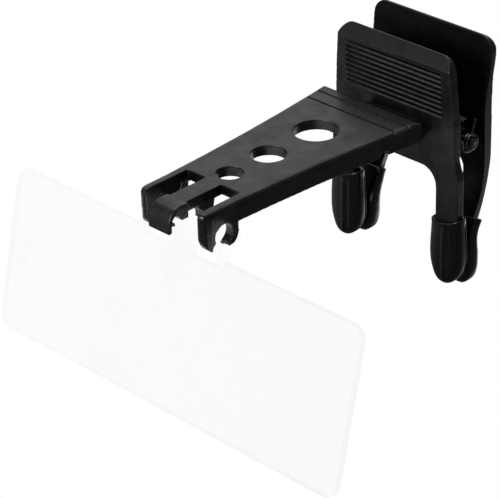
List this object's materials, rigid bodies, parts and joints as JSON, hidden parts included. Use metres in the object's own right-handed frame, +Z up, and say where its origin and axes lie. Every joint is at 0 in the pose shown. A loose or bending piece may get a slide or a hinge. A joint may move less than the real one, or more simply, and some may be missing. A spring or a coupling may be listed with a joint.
{
  "type": "clip-on flip magnifier",
  "caption": "Spring clip for the front of a pair of glasses with a flat forward arm and a clear rectangular magnifying lens that flips up on a rod at the arm's end.",
  "frame": {"origin": "middle of the grip, on the plane between the front and rear boots, 28 mm below the top of the arm", "axes": "+X across the lens, -Y from the clip towards the lens, +Z up along the clip"},
  "size_m": [0.084, 0.0738, 0.0498],
  "materials": {
    "black_moulding": "fine satin",
    "black_boot": "glossy soft sleeve",
    "steel": "bright wire",
    "clear_plastic": "polished clear"
  },
  "bodies": {
    "clip": {"front_frame": "black_moulding", "hinge_pin": "steel", "torsion_spring_right": "steel", "torsion_spring_left": "steel", "boot_front_right": "black_boot", "boot_front_left": "black_boot"},
    "jaw": {"rear_jaw": "black_moulding", "boot_rear_right": "black_boot", "boot_rear_left": "black_boot"},
    "lens_body": {"lens": "clear_plastic"}
  },
  "joints": [
    {"name": "jaw_pinch", "type": "hinge", "parent": "clip", "child": "jaw", "pos_m": [0, 0.00258, 0.0205], "axis": [1, 0, 0], "range_deg": [0, 24], "stiffness_Nm_per_rad": 0.12, "springref_deg": -28.65, "deforming": ["torsion_spring_right", "torsion_spring_left"]},
    {"name": "lens_flip", "type": "hinge", "parent": "clip", "child": "lens_body", "pos_m": [0, -0.05452, 0.0228], "axis": [-1, 0, 0], "range_deg": [-14, 60]}
  ]
}
